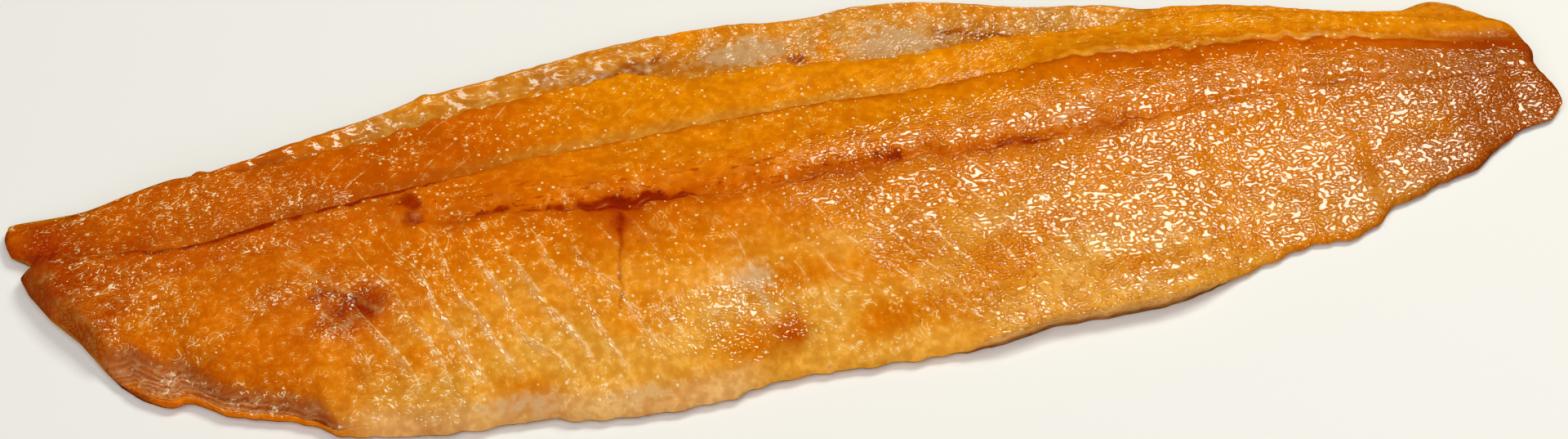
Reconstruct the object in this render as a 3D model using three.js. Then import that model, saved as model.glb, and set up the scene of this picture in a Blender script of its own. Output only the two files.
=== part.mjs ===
// A cold-smoked fish fillet, lying flesh side up on the side that its skin was on.
// Millimetres, +Z up. +X runs along the fillet to the slim end, +Y across it to the thin belly flap.
// The origin is the middle of the fillet's bounding box, on the surface that it rests on. The plan below is
// laid out from a point close to it, and is moved there at the end.
//
// The solid is a loft. Stations follow each other along the length. Each one is a smooth section through
// knots: near edge, thick lobe, lateral line, back strip, cleft, second strip, belly flap, far edge.
import * as THREE from "three";
import { ImprovedNoise } from "three/addons/math/ImprovedNoise.js";

// ---- Driving dimensions ----

const THICKNESS = 18; // at the thickest, along the back strip
const THICKEST_X = -5;
const BLUNT_THICKNESS = 4; // what the blunt end thins out to
const BLUNT_TAPER = 155; // over this length
const SLIM_THICKNESS = 5.5; // what the slim end thins out to
const SLIM_TAPER = 158; // over this length

const EDGE_THICKNESS = 4.6; // of the flesh close behind the near edge
const SLIM_EDGE_THICKNESS = 3.4; // and where the lobe slopes straight down to it, towards the slim end
const FLAP_THICKNESS = 3.6; // of the belly flap
const FLAP_RIM = 5.2; // of the curled far rim of the flap
const RIM_HEIGHT = 1.8; // height of the outermost point of an ordinary edge

const STEP_HEIGHT = 5.2; // from the back strip down to the second strip
const LIP_RISE = 0.45; // of the second strip's torn edge, where it laps over the back strip instead
const TORN_EDGE = 0.9; // how far the teeth of that torn edge stray
const RUFFLE = 0.3; // waviness of the near edge

const MYOSEPTA_PITCH = 6.8; // between the sheets that part the muscle segments
const MYOSEPTA_DEPTH = 0.35;
const LOBE_LEAN = [0.42, 0.78]; // x for each y of the sheets on the thick lobe: blunt half, slim half
const BACK_LEAN = 0.95; // and beyond the lateral line
const UNEVENNESS = 0.55; // slow waves of the flesh
const PUCKER = 0.3; // wrinkles of the dried surface, as coarse as these facets can show

const END_ROUNDING = 2.6; // length over which an end rounds down
const END_LEAST = 0.16; // share of the section's height that is left at the very end
const FLAT_FROM = 3.6; // the underside lies flat further in from the edge than this

const STATIONS = 140;

// ---- Plan: the outline and the lines that run along the fillet ----

const NEAR_EDGE = [
  [-140.5, -27], [-137.5, -30.6], [-133, -31.8], [-129, -32.5], [-123.5, -36.6], [-117, -38.9],
  [-109, -42], [-102.5, -46.3], [-96, -48], [-84, -50], [-62, -50.7], [-57, -52.1], [-41, -53.4],
  [-27, -52.8], [-16.5, -50.2], [14, -49.9], [30, -49.6], [41, -47.2], [56, -46.9], [70, -45.2],
  [86, -38.7], [97, -35.4], [106, -34.8], [112, -33], [116, -28.7], [128, -24], [137, -21],
  [144, -15.3], [150.5, -11.5], [157, -9.4], [160.5, -6.5],
];
const FAR_EDGE = [
  [-160.5, 24.5], [-146, 25.2], [-122, 29.6], [-108, 32.6], [-94, 36.3], [-72, 42.2], [-50, 46.8],
  [-29, 50.2], [-8, 51.1], [8, 49.8], [22, 51.3], [34, 50], [55, 44.2], [82, 38.6], [107, 32.8],
  [124, 28.6], [134, 27.4], [142, 29], [148.5, 26.3],
];
const LATERAL_LINE = [
  [-160, -4], [-140, -5.4], [-105, -5.6], [-72, -6.4], [-35, -8.6], [0, -9], [20, -7.2], [42, -7.5],
  [60, -5.4], [82, -2.5], [108, 2.2], [123, 1.8], [140, 1.5], [162, 3.4],
];
const CLEFT = [
  [-160, 9.5], [-142, 5.6], [-122, 1.4], [-100, 3.8], [-84, 4.8], [-60, 7.1], [-37, 8.7], [-8, 10.6],
  [10, 10.7], [30, 11.7], [60, 15.6], [80, 14.8], [102, 15.8], [119, 14.1], [135, 12.4], [162, 10],
];
const SECOND_RIDGE = [
  [-160, 21], [-135, 23.2], [-120, 24.4], [-108, 22.4], [-92, 23.4], [-70, 27], [-46, 30], [-31, 31.8],
  [-20, 29], [0, 27.6], [24, 25.6], [46, 27.2], [66, 27.2], [84, 27.6], [104, 25.9], [124, 22.5],
  [149, 18.2],
];

// Depth of the groove along the lateral line, and width of the membrane fold at the near edge, by x.
const LATERAL_DEPTH = [
  [-160, 0.1], [-80, 0.2], [-52, 0.8], [-20, 1.1], [30, 1], [60, 0.6], [162, 0.5],
];
const FOLD_WIDTH = [
  [-141, 11], [-131, 10], [-128, 7.8], [-122, 5.8], [-114, 4.8], [-108, 4.4], [-104, 3.2], [-100, 2],
];

// Ends: how far the cut strays from a straight line between its corners, from the near to the far corner.
const BLUNT_END = [
  [0, 0], [0.05, -1.4], [0.115, -2.6], [0.2, -2.7], [0.3, -3.2], [0.36, -3.7], [0.43, -5], [0.49, -5.75],
  [0.6, -6], [0.67, -5.8], [0.705, -5.2], [0.736, -3.3], [0.765, -1.7], [0.795, -1.6], [0.822, -3.8],
  [0.86, -3.9], [0.91, -3.3], [0.955, -2.2], [1, -0.4],
];
const SLIM_END = [
  [0, 0], [0.05, 0.9], [0.15, 1.8], [0.36, 2.1], [0.5, 4.5], [0.63, 5.1], [0.73, 5.3], [0.8, 4.3],
  [0.92, 1.4], [1, 0],
];
const END_REACH = 14; // how far into the fillet an end's bulges fade out
const UNDER_SHARES = [0.83, 0.805, 0.77, 0.735, 0.7, 0.6, 0.45, 0.3, 0.15]; // across; close under the notch

// Small knobs of dried flesh on the far edge: [x, height, half width].
const EDGE_KNOBS = [
  [-121.5, 1.4, 1.9],
  [-73, 1.2, 2.4],
];

// ---- Relief that belongs to one place: [x, y, height, radius along x, radius along y] ----

const LOCAL_RELIEF = [
  [-98, -22, -0.9, 7, 5], // bruised hollow
  [-15, -29, -0.5, 6, 5], // torn membrane
  [-14, -43.5, 1, 3.4, 2.4], // scrap of flesh hanging from the tear
  [-40, -11, -0.4, 3, 4], // end of a blood vessel
  [43, -8, -0.5, 4, 3], // gap in the lateral line
];

// ---- Small tools ----

const noise = new ImprovedNoise();
const { lerp, smoothstep } = THREE.MathUtils;

// 1 between from and to, with soft shoulders.
function spanning(x, from, to, softness) {
  return smoothstep(x, from - softness / 2, from + softness / 2)
    * (1 - smoothstep(x, to - softness / 2, to + softness / 2));
}

// A smooth function through points sorted by their first coordinate.
function through(points) {
  const slope = (i) => {
    const [a, b] = [points[Math.max(i - 1, 0)], points[Math.min(i + 1, points.length - 1)]];
    return (b[1] - a[1]) / (b[0] - a[0]);
  };
  return (x) => {
    const found = points.findIndex((p) => p[0] > x);
    const i = found < 0 ? points.length - 2 : Math.max(found - 1, 0);
    const [[x0, y0], [x1, y1]] = [points[i], points[i + 1]];
    const span = x1 - x0;
    const t = THREE.MathUtils.clamp((x - x0) / span, 0, 1);
    const u = 1 - t;
    return u * u * (1 + 2 * t) * y0 + t * t * (1 + 2 * u) * y1
      + t * u * span * (u * slope(i) - t * slope(i + 1));
  };
}

// ---- Zones along the length, each from 0 to 1 ----

const flapZone = (x) => spanning(x, -121, 80, 14); // where the belly flap stands out from the second strip
const foldZone = (x) => spanning(x, -146, -101, 7); // where the near edge is a double fold of membrane
const wallZone = (x) => spanning(x, 24, 76, 14); // where the near edge stands up as an undercut wall
const cleftZone = (x) => lerp(0.25, 1, spanning(x, -128, 118, 30)); // how deep the cleft is cut
const slopeZone = (x) => 0.9 * smoothstep(x, 45, 95); // where the lobe's crown gives way to a plain slope
const lapZone = (x) => spanning(x, 52, 129, 25); // where the second strip lies over the back strip

function bodyThickness(x) {
  const toBlunt = Math.max(0, (THICKEST_X - x) / BLUNT_TAPER) ** 4;
  const toSlim = Math.max(0, (x - THICKEST_X) / SLIM_TAPER) ** 2.2;
  return THICKNESS - (THICKNESS - BLUNT_THICKNESS) * toBlunt - (THICKNESS - SLIM_THICKNESS) * toSlim;
}

// ---- The lines as functions of x, and the ends as functions of the share across ----

const smoothNearEdge = through(NEAR_EDGE);
const nearEdge = (x) => smoothNearEdge(x) + RUFFLE * noise.noise(x / 6.5, 2.5, 0.5);
const farEdge = through(FAR_EDGE);
const lateralLine = through(LATERAL_LINE);
const smoothCleft = through(CLEFT);
const cleft = (x) => smoothCleft(x) + TORN_EDGE * noise.noise(x / 6, 5.5, 0.5) * lapZone(x);
const secondRidge = through(SECOND_RIDGE);
const lateralDepth = through(LATERAL_DEPTH);
const foldWidth = through(FOLD_WIDTH);
const bluntEnd = through(BLUNT_END);
const slimEnd = through(SLIM_END);

// ---- The section: knots from the near edge over the top to the far edge, and back underneath ----

// Each knot is [y, z] at x. Offsets from an edge shrink where the band beside it is narrow.
function topKnots(x) {
  const lines = [nearEdge, lateralLine, cleft, secondRidge, farEdge];
  const [near, lateral, split, ridge, far] = lines.map((line) => line(x));
  const zones = [flapZone, foldZone, wallZone, cleftZone, lapZone];
  const [flap, fold, wall, deep, lap] = zones.map((zone) => zone(x));
  const body = bodyThickness(x);
  const lobe = Math.min(1, (lateral - near) / 26); // 1 where the lobe is wide
  const slope = slopeZone(x);
  const edge = Math.min(lerp(EDGE_THICKNESS, SLIM_EDGE_THICKNESS, slope), 0.36 * body);
  const lateralTop = 0.93 * body;
  const crown = (round, plain) => lerp(edge, lateralTop, lerp(round, plain, slope));
  const cleftFloor = 0.97 * body - lerp(STEP_HEIGHT, 1.1, lap) * deep;
  const ridgeTop = lerp(0.72, 0.85, smoothstep(x, 60, 96)) * body;
  const side = Math.min(1, (far - ridge) / 8);
  const shelf = lerp(0.66 * ridgeTop, FLAP_THICKNESS, flap);
  const margin = lerp(10 * lobe, foldWidth(x), fold);
  const inner = smoothNearEdge(x) + margin;
  return [
    [near, lerp(RIM_HEIGHT, 4.4, wall)],
    [near + 0.08 * margin, lerp(lerp(0.7 * edge, 5.5, wall), 2.7, fold)],
    [lerp(near, inner, 0.26), lerp(lerp(edge, 6.1, wall), 2.2, fold)],
    [lerp(near, inner, 0.64), lerp(crown(0.24, 0.12), 3, fold)],
    [inner, lerp(crown(0.44, 0.235), 6.4, fold)],
    [lerp(inner, lateral, 0.3), crown(0.72, 0.48)],
    [lerp(inner, lateral, 0.62), crown(0.9, 0.745)],
    [lateral - 1.8 * lobe, lateralTop],
    [lateral, lateralTop - lateralDepth(x) * lobe],
    [lateral + 1.5, lateralTop + 0.2],
    [lerp(lateral, split, 0.5), body],
    [split - 1.5, lerp(body, 0.97 * body, deep)],
    [split - 0.3, 0.97 * body - lerp(0.7, 0.5, lap) * deep],
    [split + 0.5, cleftFloor + lerp(0.8, LIP_RISE + 0.2, lap)],
    [split + 1.9, cleftFloor + LIP_RISE * lap],
    [lerp(split, ridge, 0.5), lerp(cleftFloor, ridgeTop, 0.6) + 0.1],
    [ridge - 1.6 * side, ridgeTop],
    [ridge, ridgeTop - 0.4],
    [ridge + 1.3 * side, lerp(ridgeTop, shelf, 0.55)],
    [ridge + 3.2 * side, lerp(ridgeTop, shelf, 0.96)],
    [lerp(ridge, far, 0.62), shelf],
    [far - 2.6 * side, lerp(0.8 * shelf, FLAP_RIM - 0.4, flap)],
    [far - 1.1 * side, lerp(0.6 * shelf, FLAP_RIM, flap)],
    [far, RIM_HEIGHT + 0.6],
  ];
}

function underKnots(x) {
  const [near, far] = [nearEdge(x), farEdge(x)];
  const narrow = Math.min(1, (far - near) / 30);
  const undercut = lerp(1.1, 2.2, wallZone(x));
  return [
    [far - 1.2 * narrow, 0.4],
    [far - FLAT_FROM * narrow, 0],
    ...UNDER_SHARES.map((share) => [lerp(near, far, share), 0]),
    [near + FLAT_FROM * narrow, 0],
    [near + undercut * narrow, 0.4],
  ];
}

// Rows of facets between one top knot and the next.
const ROWS_BETWEEN = [1, 1, 1, 1, 2, 2, 1, 1, 1, 1, 1, 1, 1, 1, 2, 2, 1, 1, 1, 1, 1, 1, 1];

// ---- Relief of the flesh ----

// The sheets between the muscle segments lean towards the slim end on both sides of the lateral line.
function myosepta(x, y) {
  const from = y - lateralLine(x);
  const lean = from < 0 ? lerp(...LOBE_LEAN, smoothstep(x, -40, 40)) : BACK_LEAN;
  const phase = (x - lean * Math.abs(from)) / MYOSEPTA_PITCH;
  return -MYOSEPTA_DEPTH * (0.5 + 0.5 * Math.cos(2 * Math.PI * phase)) ** 3;
}

function relief(x, y) {
  let z = myosepta(x, y);
  z += UNEVENNESS * noise.noise(x / 15, y / 9, 0.5);
  z += PUCKER * noise.noise(x / 5, y / 4, 7.5);
  for (const [cx, cy, height, alongX, alongY] of LOCAL_RELIEF) {
    z += height * Math.exp(-(((x - cx) / alongX) ** 2) - ((y - cy) / alongY) ** 2);
  }
  return z;
}

// ---- Stations ----

// A station is a straight line in plan from the near edge to the far edge.
// This is where the line y = line(x) meets the station from start to end.
function meet(line, start, end) {
  let x = (start.x + end.x) / 2;
  let y = line(x);
  for (let i = 0; i < 6; i++) {
    x = lerp(start.x, end.x, (y - start.y) / (end.y - start.y));
    y = line(x);
  }
  return new THREE.Vector2(x, y);
}

const firstNear = NEAR_EDGE[0][0];
const lastNear = NEAR_EDGE[NEAR_EDGE.length - 1][0];
const firstFar = FAR_EDGE[0][0];
const lastFar = FAR_EDGE[FAR_EDGE.length - 1][0];

// The closed loop of points of station number i.
function stationLoop(i) {
  const share = i / (STATIONS - 1);
  const nearX = lerp(firstNear, lastNear, share);
  const farX = lerp(firstFar, lastFar, share);
  const start = new THREE.Vector2(nearX, nearEdge(nearX));
  const end = new THREE.Vector2(farX, farEdge(farX));
  const fromBlunt = share * (lastNear - firstNear);
  const fromSlim = (1 - share) * (lastFar - firstFar);
  const fromEnd = Math.min(fromBlunt, fromSlim);
  const height = Math.max(END_LEAST, Math.sqrt(1 - (1 - Math.min(1, fromEnd / END_ROUNDING)) ** 2));

  const solve = (knots, k) => {
    const at = meet((x) => knots(x)[k][0], start, end);
    return new THREE.Vector3(at.x, at.y, knots(at.x)[k][1]);
  };
  const top = topKnots(0).map((_, k) => solve(topKnots, k));
  const under = underKnots(0).map((_, k) => solve(underKnots, k));

  const curve = new THREE.CatmullRomCurve3(top, false, "centripetal");
  const points = [];
  ROWS_BETWEEN.forEach((rows, k) => {
    for (let j = 0; j < rows; j++) points.push(curve.getPoint((k + j / rows) / ROWS_BETWEEN.length));
  });
  points.push(top[top.length - 1].clone());

  points.forEach((p, k) => {
    const inFromRim = Math.min(k, points.length - 1 - k) / 3;
    p.z += relief(p.x, p.y) * Math.min(1, inFromRim);
  });
  const loop = [...points, ...under];
  for (const p of loop) {
    p.z = lerp(RIM_HEIGHT, p.z, height);
    const across = THREE.MathUtils.clamp((p.y - start.y) / (end.y - start.y), 0, 1);
    p.x += bluntEnd(across) * Math.max(0, 1 - fromBlunt / END_REACH) ** 2;
    p.x += slimEnd(across) * Math.max(0, 1 - fromSlim / END_REACH) ** 2;
  }
  const rim = points[points.length - 1];
  for (const [x, rise, halfWidth] of EDGE_KNOBS) {
    const bump = rise * Math.exp(-(((rim.x - x) / halfWidth) ** 2));
    rim.y += bump;
    points[points.length - 2].y += 0.7 * bump;
    points[points.length - 2].z += 0.7 * bump;
  }
  return loop;
}

// ---- The solid ----

function filletGeometry() {
  const loops = Array.from({ length: STATIONS }, (_, i) => stationLoop(i));
  const around = loops[0].length;
  const index = [];
  for (let i = 0; i + 1 < STATIONS; i++) {
    for (let k = 0; k < around; k++) {
      const [a, b] = [i * around + k, i * around + ((k + 1) % around)];
      const [c, d] = [a + around, b + around];
      index.push(a, c, b, b, c, d);
    }
  }
  // An end is closed by triangles that zigzag between the top and the underside.
  const cap = (i, flip) => {
    let [top, under] = [0, around - 1];
    while (under - top > 1) {
      const alongTop = loops[i][top + 1].y < loops[i][under - 1].y;
      const corner = [top, alongTop ? top + 1 : under - 1, under].map((k) => i * around + k);
      index.push(...(flip ? corner.reverse() : corner));
      if (alongTop) top++;
      else under--;
    }
  };
  cap(0, false);
  cap(STATIONS - 1, true);
  const geometry = new THREE.BufferGeometry().setFromPoints(loops.flat());
  geometry.setIndex(index);
  geometry.computeVertexNormals();
  geometry.computeBoundingBox();
  const middle = geometry.boundingBox.getCenter(new THREE.Vector3());
  geometry.translate(-middle.x, -middle.y, 0);
  return geometry;
}

const flesh = new THREE.MeshStandardMaterial({ color: "#c9781c", roughness: 0.32, metalness: 0 });
const fillet = new THREE.Mesh(filletGeometry(), flesh);
fillet.name = "fillet";

const part = new THREE.Group();
part.add(fillet);
export default part;
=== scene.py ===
import math

import bpy
import numpy as np
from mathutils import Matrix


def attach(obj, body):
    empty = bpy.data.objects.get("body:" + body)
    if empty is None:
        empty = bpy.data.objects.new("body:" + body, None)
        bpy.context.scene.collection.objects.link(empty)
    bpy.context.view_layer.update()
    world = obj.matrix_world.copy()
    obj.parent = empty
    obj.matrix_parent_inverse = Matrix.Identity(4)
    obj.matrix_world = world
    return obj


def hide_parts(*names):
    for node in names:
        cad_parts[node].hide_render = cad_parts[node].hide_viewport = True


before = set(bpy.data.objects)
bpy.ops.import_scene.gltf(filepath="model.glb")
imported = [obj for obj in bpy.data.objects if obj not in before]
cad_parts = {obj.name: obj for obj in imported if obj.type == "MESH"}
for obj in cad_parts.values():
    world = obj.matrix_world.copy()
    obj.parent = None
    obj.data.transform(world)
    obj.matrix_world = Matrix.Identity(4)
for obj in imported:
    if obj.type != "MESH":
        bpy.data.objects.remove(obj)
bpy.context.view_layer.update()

# ---------------------------------------------------------------------------------------------------------------
# The fillet's form: one side of a white fish, boned and trimmed by hand, brined, hung and smoked. It lies on
# its skin side. The plan is in millimetres: x runs along the fillet to the slim end, y across it to the belly.
# ---------------------------------------------------------------------------------------------------------------

MM = 0.001
PLAN_MIDDLE = (-0.64, -1.13)  # middle of the outline, which the frame has at its origin

# The lines of the plan, from the near side to the far side, each through a few of its points.
NEAR_EDGE = [
    (-140.5, -27), (-137.5, -30.6), (-133, -31.8), (-129, -32.5), (-123.5, -36.6), (-117, -38.9),
    (-109, -42), (-102.5, -46.3), (-96, -48), (-84, -50), (-62, -50.7), (-57, -52.1), (-41, -53.4),
    (-27, -52.8), (-16.5, -50.2), (14, -49.9), (30, -49.6), (41, -47.2), (56, -46.9), (70, -45.2),
    (86, -38.7), (97, -35.4), (106, -34.8), (112, -33), (116, -28.7), (128, -24), (137, -21),
    (144, -15.3), (150.5, -11.5), (157, -9.4), (160.5, -6.5),
]
FAR_EDGE = [
    (-160.5, 24.5), (-146, 25.2), (-122, 29.6), (-108, 32.6), (-94, 36.3), (-72, 42.2), (-50, 46.8),
    (-29, 50.2), (-8, 51.1), (8, 49.8), (22, 51.3), (34, 50), (55, 44.2), (82, 38.6), (107, 32.8),
    (124, 28.6), (134, 27.4), (142, 29), (148.5, 26.3),
]
LATERAL_LINE = [
    (-160, -4), (-140, -5.4), (-105, -5.6), (-72, -6.4), (-35, -8.6), (0, -9), (20, -7.2), (42, -7.5),
    (60, -5.4), (82, -2.5), (108, 2.2), (123, 1.8), (140, 1.5), (162, 3.4),
]
CLEFT = [
    (-160, 9.5), (-142, 5.6), (-122, 1.4), (-100, 3.8), (-84, 4.8), (-60, 7.1), (-37, 8.7), (-8, 10.6),
    (10, 10.7), (30, 11.7), (60, 15.6), (80, 14.8), (102, 15.8), (119, 14.1), (135, 12.4), (162, 10),
]
SECOND_RIDGE = [
    (-160, 21), (-135, 23.2), (-120, 24.4), (-108, 22.4), (-92, 23.4), (-70, 27), (-46, 30), (-31, 31.8),
    (-20, 29), (0, 27.6), (24, 25.6), (46, 27.2), (66, 27.2), (84, 27.6), (104, 25.9), (124, 22.5),
    (149, 18.2),
]

# By x: how wide the folded membrane at the near edge is, and how deep the lateral line's groove is.
FOLD_WIDTH = [
    (-141, 11), (-131, 10), (-128, 7.8), (-122, 5.8), (-114, 4.8), (-108, 4.4), (-104, 3.2), (-100, 2),
]
LATERAL_DEPTH = [(-160, 0.1), (-80, 0.2), (-52, 0.8), (-20, 1.1), (30, 1.0), (60, 0.6), (162, 0.5)]

# The ragged cuts of the two ends: how far each goes towards the slim end, by the share of the way across.
BLUNT_END = [
    (0, 0), (0.05, -1.4), (0.115, -2.6), (0.2, -2.7), (0.3, -3.2), (0.36, -3.7), (0.43, -5), (0.49, -5.75),
    (0.6, -6), (0.67, -5.8), (0.705, -5.2), (0.736, -3.3), (0.765, -1.7), (0.795, -1.6), (0.822, -3.8),
    (0.86, -3.9), (0.91, -3.3), (0.955, -2.2), (1, -0.4),
]
SLIM_END = [
    (0, 0), (0.05, 0.9), (0.15, 1.8), (0.36, 2.1), (0.5, 4.5), (0.63, 5.1), (0.73, 5.3), (0.8, 4.3),
    (0.92, 1.4), (1, 0),
]


def through(points):
    """A smooth function through points that are sorted by their first coordinate."""
    px, py = np.array(points, float).T
    slope = np.gradient(py, px)
    slope[1:-1] = (py[2:] - py[:-2]) / (px[2:] - px[:-2])

    def curve(x):
        x = np.clip(x, px[0], px[-1])
        i = np.clip(np.searchsorted(px, x, side="right") - 1, 0, len(px) - 2)
        span = px[i + 1] - px[i]
        t = (x - px[i]) / span
        u = 1 - t
        ends = u * u * (1 + 2 * t) * py[i] + t * t * (1 + 2 * u) * py[i + 1]
        return ends + t * u * span * (u * slope[i] - t * slope[i + 1])

    return curve


def mix(a, b, share):
    return a + (b - a) * share


def rise(x, start, end):
    """0 up to start, 1 from end on, and a smooth ramp between."""
    t = np.clip((x - start) / (end - start), 0, 1)
    return t * t * (3 - 2 * t)


def fall(x, start, end):
    """1 up to start, 0 from end on, and a smooth ramp between."""
    return 1 - rise(x, start, end)


def spanning(x, start, end, soft):
    """1 between start and end, with shoulders soft wide."""
    half = soft / 2
    return rise(x, start - half, start + half) * fall(x, end - half, end + half)


def bell(x, middle, half_width):
    """A smooth hump, 1 at the middle and about a third at half_width from it."""
    return np.exp(-(((x - middle) / half_width) ** 2))


TILE = 96  # waves along a side of a random tile
TILE_CELLS = 8  # cells to a wave


def grain(seed, low=0.7, high=1.35):
    """A random field whose waves are about 1 long, from a seeded square tile that repeats."""
    side = TILE * TILE_CELLS
    spectrum = np.fft.rfft2(np.random.default_rng(seed).standard_normal((side, side)))
    fx = np.fft.rfftfreq(side, 1 / TILE_CELLS)
    fy = np.fft.fftfreq(side, 1 / TILE_CELLS)
    f = np.hypot(fx[None, :], fy[:, None])
    band = rise(f, 0.6 * low, low) * fall(f, high, 1.3 * high)
    tile = np.fft.irfft2(spectrum * band, s=(side, side))
    tile /= tile.std()

    def field(u, v):
        a, b = np.asarray(u) * TILE_CELLS, np.asarray(v) * TILE_CELLS
        i, j = np.floor(a).astype(int), np.floor(b).astype(int)
        p, q = a - i, b - j
        i0, i1, j0, j1 = i % side, (i + 1) % side, j % side, (j + 1) % side
        return mix(mix(tile[j0, i0], tile[j0, i1], p), mix(tile[j1, i0], tile[j1, i1], p), q)

    return field


waves = grain(11)
more_waves = grain(12)
clouds = grain(13, 0.15, 0.9)
more_clouds = grain(14, 0.15, 0.9)


def ragged(x, height, length, tile_row):
    """Uneven waves of a line, height high and about length long."""
    return height * waves(x / length, tile_row)


smooth_near = through(NEAR_EDGE)
smooth_cleft = through(CLEFT)
smooth_lateral = through(LATERAL_LINE)
smooth_ridge = through(SECOND_RIDGE)
far_edge = through(FAR_EDGE)
fold_width = through(FOLD_WIDTH)
lateral_depth = through(LATERAL_DEPTH)
blunt_end = through(BLUNT_END)
slim_end = through(SLIM_END)


# Where along the fillet the flap, the folded membrane, the cut wall, the slimmer half, the torn lip that laps
# over the cleft, and the cleft itself are: 1 along each of them and 0 away from it.
def flap_zone(x):
    return spanning(x, -121, 80, 14)


def fold_zone(x):
    return spanning(x, -146, -101, 7)


def wall_zone(x):
    return spanning(x, 24, 76, 14)


def slope_zone(x):
    return 0.9 * rise(x, 45, 95)


def lap_zone(x):
    return spanning(x, 52, 129, 25)


def cleft_zone(x):
    return mix(0.25, 1, spanning(x, -128, 118, 30))


def near_edge(x):
    cut = ragged(x, 0.25, 7, 3.5) + ragged(x, 0.06, 2.6, 9.5)
    return smooth_near(x) + cut * mix(1, 0.3, wall_zone(x))


def lateral_line(x):
    return smooth_lateral(x) + ragged(x, 0.45, 9, 21.5) + ragged(x, 0.15, 3, 25.5)


def cleft(x):
    torn = ragged(x, 0.45, 6, 31.5) + ragged(x, 0.108, 2.5, 34.5)
    return smooth_cleft(x) + torn * lap_zone(x) + ragged(x, 0.12, 5, 37.5)


def second_ridge(x):
    return smooth_ridge(x) + ragged(x, 0.3, 7, 41.5) * flap_zone(x)


THICKNESS = 18.0
THICKEST_X = -5.0
BLUNT_THICKNESS, BLUNT_TAPER = 4.0, 155.0  # at the blunt end, and how far that is from the thickest place
SLIM_THICKNESS, SLIM_TAPER = 5.5, 158.0


def body_thickness(x):
    to_blunt = np.maximum(0, (THICKEST_X - x) / BLUNT_TAPER) ** 4
    to_slim = np.maximum(0, (x - THICKEST_X) / SLIM_TAPER) ** 2.2
    return THICKNESS - (THICKNESS - BLUNT_THICKNESS) * to_blunt - (THICKNESS - SLIM_THICKNESS) * to_slim


RIM_HEIGHT = 1.8  # where the top turns under, all round
FAR_RIM_HEIGHT = 2.4
EDGE_THICKNESS = 4.6
SLIM_EDGE_THICKNESS = 2.6
WALL_HEIGHTS = (4.4, 5.5, 6.1)  # of the low cut wall at the near right, from its foot inwards
FOLD_HEIGHTS = (2.7, 2.2, 3.0, 6.4)  # across the folded membrane, up to the lobe
FULL_LOBE = 26.0  # a lobe or a flap that is narrower than this has its lines closer together
FULL_FLAP = 8.0
MARGIN = 10.0  # how wide the lobe's rounded margin is
LATERAL_SHARE = 0.93  # shares of the body's thickness
LIP_SHARE = 0.97
RIDGE_SHARES = (0.72, 0.85)  # before and after the flap ends
STEP_HEIGHT = 5.2  # from the back strip down into the cleft
LAPPED_STEP = 1.1  # the same where the torn lip laps over the cleft
LIP_RISE = 0.45
FLAP_THICKNESS = 3.6
FLAP_RIM = 5.2


def top_knots(x):
    """Lists of y and z: the knots of the section at x, from the near edge over the top to the far edge."""
    lines = (near_edge, lateral_line, cleft, second_ridge, far_edge)
    near, lateral, split, ridge, far = (line(x) for line in lines)
    zones = (flap_zone, fold_zone, wall_zone, cleft_zone, lap_zone, slope_zone)
    flap, fold, wall, deep, lap, slope = (zone(x) for zone in zones)
    body = body_thickness(x)
    lobe = np.minimum(1, (lateral - near) / FULL_LOBE)
    side = np.minimum(1, (far - ridge) / FULL_FLAP)
    edge = np.minimum(mix(EDGE_THICKNESS, SLIM_EDGE_THICKNESS, slope), 0.36 * body)
    shoulder = mix(0.7, 0.8, slope) * edge
    lateral_top = LATERAL_SHARE * body
    lip = LIP_SHARE * body
    cleft_floor = lip - mix(STEP_HEIGHT, LAPPED_STEP, lap) * deep
    ridge_top = mix(*RIDGE_SHARES, rise(x, 60, 96)) * body
    shelf = mix(0.66 * ridge_top, FLAP_THICKNESS, flap)
    margin = mix(MARGIN * lobe, fold_width(x), fold)
    inner = smooth_near(x) + margin

    def crown(domed, flatter):
        return mix(edge, lateral_top, mix(domed, flatter, slope))

    return [
        # the near edge, with its wall and its folded membrane
        (near, mix(RIM_HEIGHT * mix(1, 0.6, slope), WALL_HEIGHTS[0], wall)),
        (near + 0.08 * margin, mix(mix(shoulder, WALL_HEIGHTS[1], wall), FOLD_HEIGHTS[0], fold)),
        (mix(near, inner, 0.26), mix(mix(edge, WALL_HEIGHTS[2], wall), FOLD_HEIGHTS[1], fold)),
        (mix(near, inner, 0.64), mix(crown(0.24, 0.12), FOLD_HEIGHTS[2], fold)),
        (inner, mix(crown(0.44, 0.235), FOLD_HEIGHTS[3], fold)),
        # the thick lobe, up to the lateral line's groove
        (mix(inner, lateral, 0.3), crown(0.72, 0.48)),
        (mix(inner, lateral, 0.62), crown(0.9, 0.745)),
        (lateral - 1.8 * lobe, lateral_top),
        (lateral, lateral_top - lateral_depth(x) * lobe),
        # the back strip and the lip over the cleft
        (lateral + 1.5, lateral_top + 0.2),
        (mix(lateral, split, 0.5), body),
        (split - 1.5, mix(body, lip, deep)),
        (split - 0.3, lip - mix(0.7, 0.5, lap) * deep),
        # the foot of the step, and the second strip up to its ridge
        (split + 0.5, cleft_floor + mix(0.8, LIP_RISE + 0.2, lap)),
        (split + 1.9, cleft_floor + LIP_RISE * lap),
        (mix(split, ridge, 0.5), mix(cleft_floor, ridge_top, 0.6) + 0.1),
        (ridge - 1.6 * side, ridge_top),
        (ridge, ridge_top - 0.4),
        # the belly flap and its curled rim
        (ridge + 1.3 * side, mix(ridge_top, shelf, 0.55)),
        (ridge + 3.2 * side, mix(ridge_top, shelf, 0.96)),
        (mix(ridge, far, 0.62), shelf),
        (far - 2.6 * side, mix(0.8 * shelf, FLAP_RIM - 0.4, flap)),
        (far - 1.1 * side, mix(0.6 * shelf, FLAP_RIM, flap)),
        (far, FAR_RIM_HEIGHT + 0 * x),
    ]


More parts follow.
